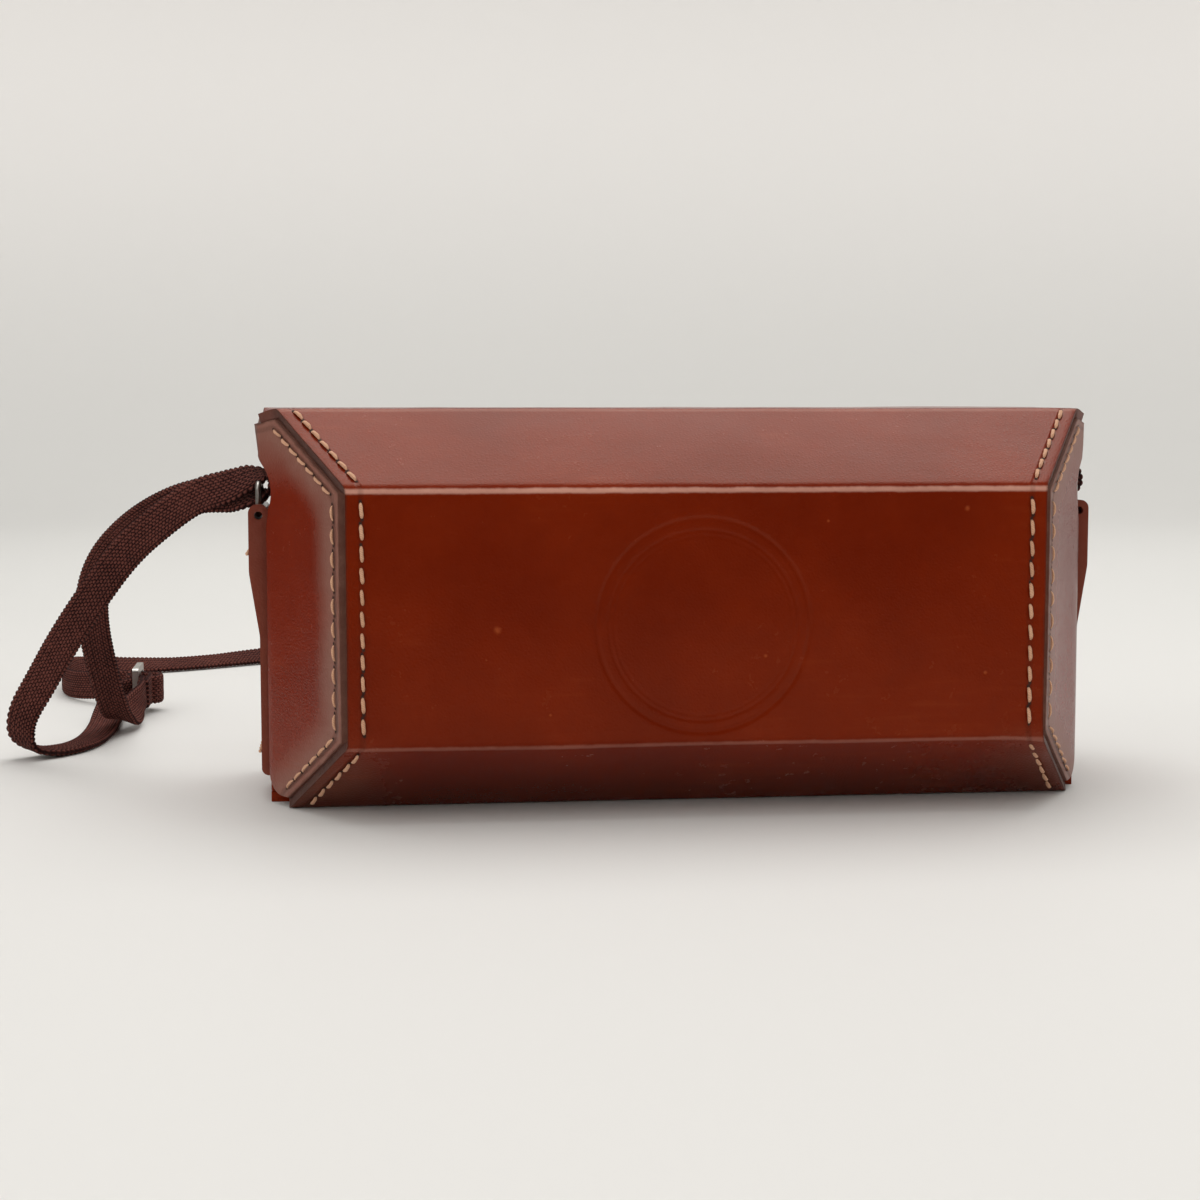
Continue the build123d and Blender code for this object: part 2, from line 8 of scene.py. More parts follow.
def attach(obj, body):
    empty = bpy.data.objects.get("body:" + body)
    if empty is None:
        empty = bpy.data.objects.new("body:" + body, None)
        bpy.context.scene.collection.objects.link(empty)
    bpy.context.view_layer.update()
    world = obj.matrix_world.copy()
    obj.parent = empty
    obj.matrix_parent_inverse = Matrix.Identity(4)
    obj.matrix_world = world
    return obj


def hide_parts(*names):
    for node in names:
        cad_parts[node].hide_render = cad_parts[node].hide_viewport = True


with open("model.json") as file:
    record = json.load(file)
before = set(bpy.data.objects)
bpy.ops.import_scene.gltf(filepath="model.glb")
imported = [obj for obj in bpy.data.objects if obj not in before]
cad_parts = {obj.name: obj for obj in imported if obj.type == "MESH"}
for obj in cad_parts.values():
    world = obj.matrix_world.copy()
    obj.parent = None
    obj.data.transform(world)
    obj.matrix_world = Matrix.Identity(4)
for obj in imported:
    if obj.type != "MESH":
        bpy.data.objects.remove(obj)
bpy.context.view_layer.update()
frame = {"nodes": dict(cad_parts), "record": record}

# The case stands on a pale seamless table: a level sheet that curves up into a wall all
# round, far enough off to leave room for a camera on any side of it.
table_radius = 1.1
sweep_radius = 0.7
sweep_steps = 12
wall_height = 1.2

bpy.ops.object.select_all(action="DESELECT")
bpy.ops.mesh.primitive_circle_add(vertices=128, radius=table_radius, fill_type="NGON")
table = bpy.context.object
table.name = "table"
bpy.ops.object.mode_set(mode="EDIT")
bpy.ops.mesh.select_mode(type="EDGE")
bpy.ops.mesh.select_all(action="SELECT")
bpy.ops.mesh.region_to_loop()
for step in range(sweep_steps):
    low, high = math.radians(90 * step / sweep_steps), math.radians(90 * (step + 1) / sweep_steps)
    rise = sweep_radius * (math.cos(low) - math.cos(high))
    wider = (table_radius + sweep_radius * math.sin(high)) / (table_radius + sweep_radius * math.sin(low))
    bpy.ops.mesh.extrude_edges_move(TRANSFORM_OT_translate={"value": (0, 0, rise)})
    bpy.ops.transform.resize(value=(wider, wider, 1), center_override=(0, 0, 0))
bpy.ops.mesh.extrude_edges_move(TRANSFORM_OT_translate={"value": (0, 0, wall_height)})
bpy.ops.object.mode_set(mode="OBJECT")
bpy.ops.object.shade_smooth()


class Tone:
    """One value in a material. Sums and products on it add the nodes that work them out."""

    def __init__(self, tree, socket=None):
        self.tree, self.socket = tree, socket

    def node(self, kind, settings=None, values=None, out=0):
        made = self.tree.nodes.new("ShaderNode" + kind)
        for key, value in (settings or {}).items():
            if key == "stops":
                ramp = made.color_ramp.elements
                while len(ramp) < len(value):
                    ramp.new(1)
                for stop, (place, colour) in zip(ramp, value):
                    stop.position, stop.color = place, colour
            else:
                setattr(made, key, value)
        for key, value in (values or {}).items():
            if isinstance(value, Tone):
                self.tree.links.new(value.socket, made.inputs[key])
            else:
                made.inputs[key].default_value = value
        return Tone(self.tree, made.outputs[out])

    def sum(self, operation, first, second=0.0, third=0.0, clamp=False):
        return self.node("Math", {"operation": operation, "use_clamp": clamp}, {0: first, 1: second, 2: third})

    def __add__(self, other):
        return self.sum("ADD", self, other)

    def __radd__(self, other):
        return self.sum("ADD", other, self)

    def __sub__(self, other):
        return self.sum("SUBTRACT", self, other)

    def __rsub__(self, other):
        return self.sum("SUBTRACT", other, self)

    def __mul__(self, other):
        return self.sum("MULTIPLY", self, other)

    def __rmul__(self, other):
        return self.sum("MULTIPLY", other, self)

    def __truediv__(self, other):
        return self.sum("DIVIDE", self, other)

    def __pow__(self, other):
        return self.sum("POWER", self, other)

    def between(self, low, high):
        """0 below low, 1 above high and a soft step between."""
        return self.node("MapRange", {"interpolation_type": "SMOOTHSTEP"}, {0: self, 1: low, 2: high})

    def mix(self, first, second):
        """From the first colour to the second as this value goes from 0 to 1."""
        return self.node("Mix", {"data_type": "RGBA"}, {0: self, 6: first, 7: second}, out=2)


def paint(name, **sockets):
    """A new material: its shader with the plain settings given, and a Tone to build on."""
    made = bpy.data.materials.new(name)
    made.use_nodes = True
    shader = made.node_tree.nodes["Principled BSDF"]
    for key, value in sockets.items():
        shader.inputs[key.replace("_", " ").title().replace("Ior", "IOR")].default_value = value
    return made, shader.inputs, Tone(made.node_tree)


def feed(tone, socket):
    tone.tree.links.new(tone.socket, socket)


# Table paper: warm white, matt, a little lighter where it climbs. In front of the case and to its
# left, glossy rays see dark instead: a painted dark reflection, which is what the glossy leather shows.
paper_near, paper_far, paper_wall = (0.735, 0.73, 0.715, 1), (0.68, 0.68, 0.665, 1), (0.95, 0.935, 0.92, 1)
paper_dark_reflection = (0.03, 0.02, 0.015, 1)
table_paper, sockets, tone = paint("table_paper", roughness=0.6)
sockets["Specular IOR Level"].default_value = 0.2
spot = tone.node("TexCoord", out=3)
leftward = tone.node("SeparateXYZ", {}, {0: spot}) * -1
backward = tone.node("SeparateXYZ", {}, {0: spot}, out=1)
raised = tone.node("SeparateXYZ", {}, {0: spot}, out=2)
level = backward.between(-0.1, 0.5).mix(paper_near, paper_far)
feed(raised.between(0.0, 0.45).mix(level, paper_wall), sockets["Base Color"])
# Where glossy rays see the painted dark reflection instead of the lit paper.
dark_reflection_zone = tone.sum("MAXIMUM", (backward * -1).between(0.24, 0.38), leftward.between(0.16, 0.4) * 0.85)
glossy = tone.node("LightPath", out=3)
dark = tone.node("BsdfDiffuse", {}, {"Color": paper_dark_reflection})
shown = Tone(table_paper.node_tree, table_paper.node_tree.nodes["Principled BSDF"].outputs[0])
mixed = tone.node("MixShader", {}, {0: dark_reflection_zone * glossy, 1: shown, 2: dark})
feed(mixed, table_paper.node_tree.nodes["Material Output"].inputs[0])
table.data.materials.append(table_paper)

# Lamps: a wide soft box overhead and a little behind, a weaker fill from the front left, and
# an even pale room.
lamp_colour = (1.0, 0.985, 0.96)
room_strength = 0.64
for name, place, aim, size, power in (
    ("soft_box", (0.05, 0.40, 1.30), (0, 0, 0.04), 1.2, 12.2),
    ("fill", (-0.95, -0.75, 0.75), (0, 0, 0.05), 0.8, 2.2),
):
    lamp = bpy.data.objects.new(name, bpy.data.lights.new(name, "AREA"))
    bpy.context.scene.collection.objects.link(lamp)
    lamp.data.size, lamp.data.energy, lamp.data.color = size, power, lamp_colour
    lamp.location = place
    lamp.rotation_euler = (Vector(aim) - Vector(place)).to_track_quat("-Z", "Y").to_euler()
room = bpy.data.worlds.new("room")
bpy.context.scene.world = room
room.use_nodes = True
room.node_tree.nodes["Background"].inputs[0].default_value = (*lamp_colour, 1)
room.node_tree.nodes["Background"].inputs[1].default_value = room_strength

# Camera: half a metre off, a hand's height above the table and left of the middle, so that the
# front is seen almost square on and the left end at a slant.
camera = bpy.data.objects.new("camera", bpy.data.cameras.new("camera"))
bpy.context.scene.collection.objects.link(camera)
camera.data.sensor_width, camera.data.lens = 36, 63.81
camera.data.clip_start = 0.01
camera.location = (-0.0729, -0.4745, 0.0886)
camera.rotation_euler = (math.radians(84.53), 0, math.radians(-6.7))
bpy.context.scene.camera = camera
bpy.context.scene.view_settings.view_transform = "Standard"

# The neck strap is one length of ribbed cotton webbing, 8 mm wide and 1.6 mm thick. It leaves
# the right-hand ring, lies folded behind the case, comes round past its slide, threads the
# left-hand ring and goes back to be sewn to the slide. Each row gives the webbing's place as
# width, depth and height, and the way that its width points.
strap_width = 8.0
strap_thickness = 1.6
rib_pitch = 1.35
front_shift = 37.65


def at(width, depth, height):
    """A place in metres from width, depth behind the front face, and height in millimetres."""
    return Vector((width, depth - front_shift, height)) / 1000


def cord_line(places):
    """Dense points along the smooth line that the places steer."""
    curve = bpy.data.curves.new("line", "CURVE")
    curve.dimensions, curve.resolution_u = "3D", 24
    spline = curve.splines.new("NURBS")
    spline.points.add(len(places) - 1)
    for point, spot in zip(spline.points, places):
        point.co = (*spot, 1)
    spline.order_u = 3
    spline.use_endpoint_u = True
    holder = bpy.data.objects.new("line", curve)
    line = [vertex.co.copy() for vertex in bpy.data.meshes.new_from_object(holder).vertices]
    bpy.data.objects.remove(holder)
    return line


def even_steps(line, sides, step):
    """The line's points again at an even step, each with its width's direction."""
    runs = [0.0]
    for start, end in zip(line, line[1:]):
        runs.append(runs[-1] + (end - start).length)
    count = round(runs[-1] / step)
    places, turned, index = [], [], 0
    for number in range(count + 1):
        run = runs[-1] * number / count
        while index < len(runs) - 2 and runs[index + 1] < run:
            index += 1
        part = (run - runs[index]) / max(runs[index + 1] - runs[index], 1e-9)
        places.append(line[index].lerp(line[index + 1], part))
        control = (index + part) / (len(line) - 1) * (len(sides) - 2) + 0.5
        control = min(max(control, 0), len(sides) - 1.001)
        turned.append(sides[int(control)].lerp(sides[int(control) + 1], control % 1))
    return places, turned


def webbing(name, rows, width=strap_width, thickness=strap_thickness, pitch=rib_pitch):
    """A ribbed ribbon along the rows, one ring of points every quarter of a rib."""
    line = cord_line([at(*row[:3]) for row in rows])
    places, sides = even_steps(line, [Vector(row[3:]) for row in rows], pitch / 4000)
    half, thick = width / 2, thickness / 2
    section = [(-1, 0), (-0.96, 0.6), (-0.8, 1), (-0.4, 1.04), (0, 1), (0.4, 1.04), (0.8, 1), (0.96, 0.6)]
    section += [(-across, -up) for across, up in section]
    swell = [(0.93, 0.7), (1.0, 0.97), (1.03, 1.05), (1.0, 0.97)]
    points, faces, marks = [], [], []
    size = len(section)
    for number, place in enumerate(places):
        ahead = (places[min(number + 1, len(places) - 1)] - places[max(number - 1, 0)]).normalized()
        side = (sides[number] - ahead * sides[number].dot(ahead)).normalized()
        up = ahead.cross(side)
        wide, high = swell[number % 4]
        for across, lift in section:
            points.append(place + side * across * half * wide / 1000 + up * lift * thick * high / 1000)
            marks.append((across * half, number * pitch / 4))
    for ring in range(len(places) - 1):
        for spot in range(size):
            after = (spot + 1) % size
            near, far = ring * size, (ring + 1) * size
            faces.append((near + spot, near + after, far + after, far + spot))
    faces.append(tuple(range(size))[::-1])
    faces.append(tuple(range(len(points) - size, len(points))))
    mesh = bpy.data.meshes.new(name)
    mesh.from_pydata(points, [], [face[::-1] for face in faces])
    laid = mesh.uv_layers.new(name="weave")
    for loop in mesh.loops:
        laid.data[loop.index].uv = (marks[loop.vertex_index][0] / 10, marks[loop.vertex_index][1] / 10)
    mesh.shade_smooth()
    piece = bpy.data.objects.new(name, mesh)
    bpy.context.scene.collection.objects.link(piece)
    mesh.materials.append(webbing_cloth)
    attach(piece, "rear_half")
    return piece, places


# Webbing's weave: ribs across the strap, each of small over-and-under picks, dark maroon, with
# painted light and shade by the weave's height: raised threads painted browner, hollows painted nearly black.
webbing_hollow_shade, webbing_raised_lit = (0.016, 0.0036, 0.0036, 1), (0.178, 0.056, 0.043, 1)
pick_width = 0.66
webbing_cloth, sockets, tone = paint("webbing_cloth", roughness=0.82)
sockets["Specular IOR Level"].default_value = 0.12
laid = tone.node("UVMap", {"uv_map": "weave"})
across = tone.node("SeparateXYZ", {}, {0: laid}) * 10
along = tone.node("SeparateXYZ", {}, {0: laid}, out=1) * 10
column = across / pick_width
odd = tone.sum("MODULO", tone.sum("FLOOR", column) + 40, 2.0)
pick = tone.sum("ABSOLUTE", tone.sum("SINE", along * (math.pi / rib_pitch) + odd * (math.pi / 2)))
warp = tone.sum("ABSOLUTE", tone.sum("SINE", column * math.pi))
height = pick ** 0.6 * (warp ** 0.5)
fleck = tone.node("TexNoise", {}, {"Vector": tone.node("TexCoord", out=3), "Scale": 700.0, "Detail": 3.0})
paler = tone.node("TexNoise", {}, {"Vector": tone.node("TexCoord", out=3), "Scale": 45.0, "Detail": 2.0})
# Painted light and shade from the weave's height, with real flecks and fading mixed in.
weave_light_and_tone = (height * 0.75 + fleck * 0.45 + paler * 0.35 - 0.35).between(0.1, 0.95)
feed(weave_light_and_tone.mix(webbing_hollow_shade, webbing_raised_lit), sockets["Base Color"])
woven = tone.node("Bump", {}, {"Strength": 0.8, "Distance": 0.0004, "Height": height + fleck * 0.3})
feed(woven, sockets["Normal"])

up = (0, 0, 1)
right_rows = [
    (92.2, 43.0, 75.2, 0, 1, 0), (92.2, 43.3, 78.4, 0, 1, 0), (92.8, 46.6, 81.0, 0.25, 0.8, -0.3),
    (93.6, 54.0, 81.6, 0.5, 0.5, 0), (94.4, 63.0, 78.0, 0.8, 0.3, 0), (95.2, 73.0, 68.4, 1, 0.1, 0),
    (95.4, 80.0, 54.0, 1, 0, 0), (93.0, 86.0, 35.0, 0.95, 0, 0.3), (87.5, 91.0, 17.0, 0.75, 0.2, 0.6),
    (77.5, 95.0, 7.4, 0.3, 0.1, 0.95), (62.0, 97.0, 4.3, *up), (48.0, 98.7, 4.4, *up),
]
hank_rows = [
    (48.0, 98.7, 4.4, *up), (34.0, 100.4, 4.6, *up), (2.0, 104.0, 4.95, *up), (-28.0, 101.8, 4.6, *up),
    (-54.0, 95.6, 4.2, *up), (-74.0, 92.6, 4.1, *up), (-85.0, 95.0, 4.1, *up), (-89.0, 103.5, 4.1, *up),
    (-84.5, 112.0, 4.1, *up), (-73.0, 114.0, 4.1, *up), (-52.0, 111.0, 4.2, *up), (-26.0, 108.8, 4.6, *up),
    (2.0, 108.5, 4.95, *up), (30.0, 107.6, 4.6, *up), (56.0, 104.8, 4.2, *up), (74.0, 103.6, 4.1, *up),
    (85.0, 107.5, 4.1, *up), (88.5, 116.5, 4.1, *up), (83.5, 124.5, 4.1, *up), (72.0, 125.6, 4.1, *up),
    (54.0, 120.4, 4.1, *up), (28.0, 114.8, 4.6, *up), (-2.0, 113.0, 4.95, *up), (-28.0, 115.6, 4.6, *up),
    (-48.0, 119.8, 4.3, *up), (-56.5, 123.4, 4.2, *up),
]
left_rows = [
    (-56.5, 123.4, 4.2, *up), (-65.0, 127.0, 4.1, *up), (-72.5, 139.0, 4.1, *up), (-74.5, 158.0, 4.1, *up),
    (-72.0, 185.0, 4.1, *up), (-74.5, 213.0, 4.1, *up), (-72.5, 238.0, 4.1, *up), (-72.0, 257.0, 4.1, *up),
    (-76.0, 271.0, 4.1, 0.1, 0.3, 1), (-87.0, 278.0, 3.6, 0.1, 0.6, 0.8),
    (-102.0, 276.0, 2.6, -0.3, 0.85, 0.45), (-116.0, 267.0, 2.2, -0.4, 0.85, 0.32),
    (-130.0, 258.4, 2.2, -0.4, 0.85, 0.34), (-144.0, 253.0, 2.8, -0.4, 0.8, 0.5),
    (-155.0, 244.0, 3.6, -0.6, 0.4, 0.8), (-160.0, 229.0, 4.2, *up), (-159.0, 210.0, 4.2, *up),
    (-154.0, 195.0, 4.4, *up), (-146.0, 186.4, 5.4, *up), (-138.6, 180.4, 6.5, *up), (-132.6, 176.6, 6.55, *up),
    (-127.4, 174.8, 6.55, *up), (-126.6, 171.0, 6.55, *up), (-127.4, 167.2, 6.55, *up), (-132.6, 165.6, 6.4, *up),
    (-137.6, 160.4, 6.0, -0.3, 0, 1), (-138.6, 150.0, 3.4, -0.9, 0, 0.4), (-138.8, 138.0, 1.4, -1, 0, 0),
    (-138.8, 126.0, 1.0, -1, 0, 0), (-139.4, 113.0, 1.0, -1, 0.05, 0), (-142.0, 102.0, 1.1, -0.98, 0.25, 0),
    (-147.6, 94.0, 1.3, -0.88, 0.42, 0.1), (-153.0, 90.4, 3.6, -0.8, 0.44, 0.36),
    (-153.6, 89.6, 10.4, -0.77, 0.3, 0.5), (-147.6, 86.4, 20.0, -0.77, 0, 0.64), (-141.6, 79.4, 30.0, -0.77, 0, 0.64),
    (-133.4, 71.4, 41.6, -0.77, 0, 0.64), (-124.6, 63.6, 53.0, -0.74, 0.1, 0.66),
    (-115.4, 55.0, 60.8, -0.6, 0.25, 0.75), (-107.0, 48.4, 66.6, -0.35, 0.35, 0.85),
    (-99.4, 43.8, 68.6, -0.1, 0.4, 0.9), (-95.0, 42.4, 70.6, 0, 0.7, 0.7), (-90.2, 43.0, 71.8, 0, 1, 0),
    (-90.2, 43.0, 66.7, 0, 1, 0), (-95.0, 43.6, 66.5, 0, 0.8, 0.6), (-99.4, 46.6, 66.6, -0.15, 0.4, 0.9),
    (-107.0, 52.6, 66.4, -0.3, 0.4, 0.9), (-115.4, 62.0, 63.2, -0.6, 0.3, 0.75),
    (-124.4, 75.6, 57.6, -0.75, 0.2, 0.65),
    (-132.4, 87.4, 49.6, -0.9, 0.3, 0.35), (-136.6, 97.0, 40.4, -1, 0.2, 0), (-137.4, 105.4, 31.2, -1, 0.15, 0),
    (-136.6, 113.6, 20.8, -1, 0.1, 0), (-135.2, 121.0, 10.4, -1, 0.1, 0), (-134.0, 128.6, 3.9, -1, 0, 0.1),
    (-132.0, 139.4, 3.9, -0.7, 0, 0.75), (-130.4, 150.4, 6.3, -0.1, 0, 1), (-130.4, 157.95, 6.55, 0, 0, 1),
]
strap_right, right_places = webbing("webbing_right", right_rows)
strap_hank, hank_places = webbing("webbing_hank", hank_rows)
strap_left, left_places = webbing("webbing_left", left_rows)
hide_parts("strap_right")
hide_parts("strap_hank")
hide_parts("strap_left")

# Sewn ends: the strap's right-hand end is folded round the ring's upper bar and the other end
# round the slide's middle bar, each sewn flat to itself.
ring_loop_rows = [
    (93.76, 43.0, 75.9, 0, 1, 0), (93.76, 43.0, 72.6, 0, 1, 0), (95.0, 43.0, 70.4, 0, 1, 0),
    (94.8, 43.0, 67.6, 0, 1, 0), (92.96, 43.0, 66.9, 0, 1, 0), (91.1, 43.0, 67.6, 0, 1, 0),
    (90.95, 43.0, 70.4, 0, 1, 0), (92.16, 43.0, 72.6, 0, 1, 0), (92.16, 43.0, 75.4, 0, 1, 0),
]
slide_loop_rows = [
    (-129.6, 158.0, 6.55, *up), (-129.6, 168.0, 6.55, *up), (-129.5, 172.4, 6.55, *up), (-131.0, 174.1, 6.55, *up),
    (-134.4, 174.2, 6.55, *up), (-135.7, 172.6, 6.55, *up), (-135.7, 169.6, 6.55, *up), (-134.4, 167.9, 6.55, *up),
    (-131.4, 168.0, 6.55, *up), (-131.2, 164.0, 6.55, *up), (-131.2, 158.0, 6.55, *up),
]
ring_loop = webbing("sewn_end_ring", ring_loop_rows)[0]
slide_loop = webbing("sewn_end_slide", slide_loop_rows)[0]
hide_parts("strap_ring_loop")
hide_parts("strap_slide_loop")

# Tie: a flat woven tape, 6 mm wide and thin, wound once round the put-away runs with its end
# laid over its start.
tie_rows = [
    (-1.6, 108.0, 9.3, 1, 0, 0), (-1.2, 112.0, 9.3, 1, 0, 0), (-0.6, 117.4, 8.9, 1, 0, 0), (0.0, 118.6, 5.0, 1, 0, 0),
    (0.3, 117.6, 0.8, 1, 0, 0), (0.3, 113.0, 0.45, 1, 0, 0), (0.3, 104.0, 0.45, 1, 0, 0), (0.3, 99.4, 0.8, 1, 0, 0),
    (0.6, 98.4, 5.0, 1, 0, 0), (1.0, 99.6, 9.2, 1, 0, 0), (1.2, 104.0, 9.9, 1, 0, 0), (1.6, 110.0, 10.0, 1, 0, 0),
    (2.0, 114.0, 10.0, 1, 0, 0),
]
tie = webbing("tie_tape", tie_rows, width=6.0, thickness=0.6, pitch=0.8)[0]
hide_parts("strap_tie")


def length_of(places):
    """The strap's own length between its first and last point."""
    return sum((end - start).length for start, end in zip(places, places[1:]))


for piece, places, extras in (
    (strap_right, right_places, [ring_loop]), (strap_hank, hank_places, [tie]),
    (strap_left, left_places, [slide_loop, "strap_slide"]),
):
    round(length_of(places), 3)

# Front cover, wrap: one long panel of vegetable-tanned hide, about 2 mm thick, dyed red-brown
# and burnished smooth. It is folded over the slanting front from the top crease to the base,
# cut to the flare of the ends and sewn to them through both its edges.
hide_thickness = 2.2
fold_radius = 2.6
seam_inset = 3.3
flare = 0.6
wrap_columns = 104
leather_brown = (0.192, 0.0135, 0.0006, 1)
leather_dark = (0.134, 0.0080, 0.0004, 1)
leather_worn = (0.330, 0.060, 0.016, 1)
leather_dry = (0.200, 0.085, 0.056, 1)
leather_painted_shade = (0.045, 0.0045, 0.0006, 1)
chalky_and_sheen = (0.285, 0.150, 0.118, 1)
edge_dark = (0.036, 0.0090, 0.0055, 1)
edge_pale = (0.140, 0.052, 0.035, 1)
edge_dyed = (0.150, 0.034, 0.018, 1)
crown_wear_and_highlight = (0.62, 0.32, 0.245, 1)
scuffs = [(-43.0, 40.4, 1.3), (56.6, 65.1, 1.0), (13.4, 34.3, 0.8), (26.6, 62.6, 0.6), (-32.0, 22.5, 0.6),
          (61.0, 30.0, 0.7)]


def hide(name, seam=False, folds=(), dry_and_sheen=0.0, front=False, paler=0.0):
    """Burnished leather: fine grain, faint blotches, pin pricks and scuffs, a soft gloss."""
    made, sockets, tone = paint(name, specular_ior_level=0.2, specular_tint=(1.0, 0.72, 0.48, 1))
    place = tone.node("TexCoord", out=3)
    blotches = tone.node("TexNoise", {}, {"Vector": place, "Scale": 26.0, "Detail": 5.0, "Roughness": 0.55})
    fine = tone.node("TexNoise", {}, {"Vector": place, "Scale": 330.0, "Detail": 4.0, "Roughness": 0.65})
    cells = tone.node("TexVoronoi", {"feature": "DISTANCE_TO_EDGE"}, {"Vector": place, "Scale": 1250.0})
    pricks = tone.node("TexVoronoi", {}, {"Vector": place, "Scale": 130.0})
    drawn = tone.node("Mapping", {}, {0: place, 3: (60.0, 60.0, 700.0)})
    streaks = tone.node("TexNoise", {}, {"Vector": drawn, "Scale": 1.0, "Detail": 3.0})
    marks = (1 - pricks.between(0.02, 0.05)) * fine.between(0.57, 0.64)
    base = (blotches.between(0.3, 0.7) * 0.75 + fine * 0.35).mix(leather_dark, leather_brown)
    rubbed = (blotches * 0.8 + streaks * 0.5).between(0.72, 1.0) * 0.22 + marks * 0.4
    height = cells.between(0.0, 0.4) * 0.3 + fine * 0.45 + streaks * 0.25 - marks * 0.45
    rough = 0.16 + fine * 0.12 + blotches * 0.06 + marks * 0.2
    # Paler all over, uneven with the grain: a painted sheen.
    if paler:
        base = ((blotches * 0.6 + fine * 0.6 + 0.4) * paler).mix(base, chalky_and_sheen)
    if front:
        width = tone.node("SeparateXYZ", {}, {0: place}) * 1000
        tall = tone.node("SeparateXYZ", {}, {0: place}, out=2) * 1000
        for across, high, size in scuffs:
            apart = ((width - across) * (width - across) + (tall - high) * (tall - high)) ** 0.5
            scuff = 1 - (apart + fine * size).between(size * 0.6, size * 1.3)
            rubbed = rubbed + scuff * 0.7
            height = height - scuff * 0.8
        at_corners = tone.sum("ABSOLUTE", width).between(58, 76) * (1 - tall.between(4, 22))
        handled = at_corners * blotches.between(0.35, 0.6)
        rough = rough + handled * 0.12
        # Darker towards the bottom of the front and over the bottom slope: painted shade under the case.
        grime_and_shade = (1 - tall.between(2, 17)) * 0.5
        base = grime_and_shade.mix((handled * 0.55).mix(base, leather_dry), leather_painted_shade)
    if seam:
        laid = tone.node("UVMap", {"uv_map": "lay"})
        gap = tone.node("SeparateXYZ", {}, {0: laid}) * 100
        run = tone.node("SeparateXYZ", {}, {0: laid}, out=1) * 100
        # A pale line along each chosen fold: painted highlight of the fold's curve, with some real wear.
        for fold, wear_and_highlight in folds:
            crown = 1 - tone.sum("ABSOLUTE", run - fold + (fine - 0.5) * 0.5).between(0.2, 0.85)
            wear_and_highlight_patches = (blotches * 0.8 + fine * 0.4).between(0.35, 0.8) * 0.35 + 0.65
            base = (crown * wear_and_highlight * wear_and_highlight_patches).mix(base, crown_wear_and_highlight)
        # Along the seam and over the ear the panel is painted paler and greyer: partly dry wear, partly painted
        # sheen.
        if dry_and_sheen:
            ear = tone.node("SeparateXYZ", {}, {0: place}, out=2).between(0.067, 0.08) * 0.8
            dry_and_sheen_zone = tone.sum("MAXIMUM", 1 - (gap + (blotches - 0.5) * 7).between(2.5, 11.0), ear) * dry_and_sheen
            base = (dry_and_sheen_zone * (0.5 + fine * 0.4)).mix(base, chalky_and_sheen)
            rough = rough + dry_and_sheen_zone * 0.14
            height = height + dry_and_sheen_zone * streaks * 0.8
        groove = 1 - tone.sum("ABSOLUTE", gap - (1.8 if dry_and_sheen else seam_inset)).between(0.2, 0.9)
        rim = 1 - (gap + fine * 0.8).between(0.3, 1.0)
        height = height - groove * 1.8
        # The rim's dark is the burnished cut edge; the groove's darkening is painted shade in the stitch groove.
        base = (rim * 0.6 + groove * 0.25).mix(base, edge_dark)
        rough = rough + rim * 0.15
    feed(rubbed.mix(base, leather_worn), sockets["Base Color"])
    feed(rough, sockets["Roughness"])
    feed(tone.node("Bump", {}, {"Strength": 0.25, "Distance": 0.0003, "Height": height}), sockets["Normal"])
    return made


leather = hide("burnished_hide")
cut_edge, sockets, tone = paint("cut_edge", roughness=0.62)
place = tone.node("TexCoord", out=3)
fibres = tone.node("TexNoise", {}, {"Vector": place, "Scale": 900.0, "Detail": 5.0, "Roughness": 0.7})
layers = tone.node("TexNoise", {}, {"Vector": place, "Scale": 150.0, "Detail": 3.0})
far_back = tone.node("SeparateXYZ", {}, {0: place}, out=1).between(-0.0148, -0.0105) * 0.85
feed(far_back.mix((fibres * 0.7 + layers * 0.7 - 0.2).mix(edge_dark, edge_pale), edge_dyed), sockets["Base Color"])
feed(tone.node("Bump", {}, {"Strength": 0.5, "Distance": 0.0004, "Height": fibres}), sockets["Normal"])


def fold_line(corners, radius, step):
    """Points along a line of straight runs with rounded corners, at about an even step."""
    line, start = [], Vector(corners[0])
    for before, corner, after in zip(corners, corners[1:], corners[2:] + [None]):
        corner = Vector(corner)
        end = corner
        if after is not None:
            arrive, leave = (corner - Vector(before)).normalized(), (Vector(after) - corner).normalized()
            turn = arrive.angle_signed(leave)
            cut = radius * math.tan(abs(turn) / 2)
            end = corner - arrive * cut
        count = max(round((end - start).length / step), 1)
        line += [start.lerp(end, number / count) for number in range(count)]
        if after is not None:
            middle = end + (leave - arrive * arrive.dot(leave)).normalized() * radius
            spoke = end - middle
            for number in range(8):
                swing = abs(turn) * number / 8
                line.append(middle + spoke * math.cos(swing) + arrive * radius * math.sin(swing))
            start = corner + leave * cut
    return line + [end]


def alone(piece):
    """Make one piece the only selected and the active one."""
    bpy.ops.object.select_all(action="DESELECT")
    piece.select_set(True)
    bpy.context.view_layer.objects.active = piece


def cover_half(depth, height):
    """Half the wrap's width where it is that far back."""
    if height > 40 and depth > 66.2:
        return 88.6 + math.sqrt(max(16 - (depth - 66.2) ** 2, 0))
    half = 74 + flare * min(depth, 31)
    if height < 10 and depth > 20:
        half += (82 - half) * min(max((depth - 21.3) / 1.6, 0), 1)
    return half


def sway(place, size, scale):
    """Slow unevenness of a hand-cut hide, up to about the size given, in millimetres."""
    return size * noise.noise(place * scale)


def droop(width, depth):
    """How far the limp top corners have sunk towards their free side edges, in millimetres."""
    near_edge = min(max((abs(width) - 86.6) / 6, 0), 1)
    return 1.3 * near_edge ** 1.6 * min(max((depth - 22) / 7, 0), 1) * min(max((66 - depth) / 8, 0), 1)


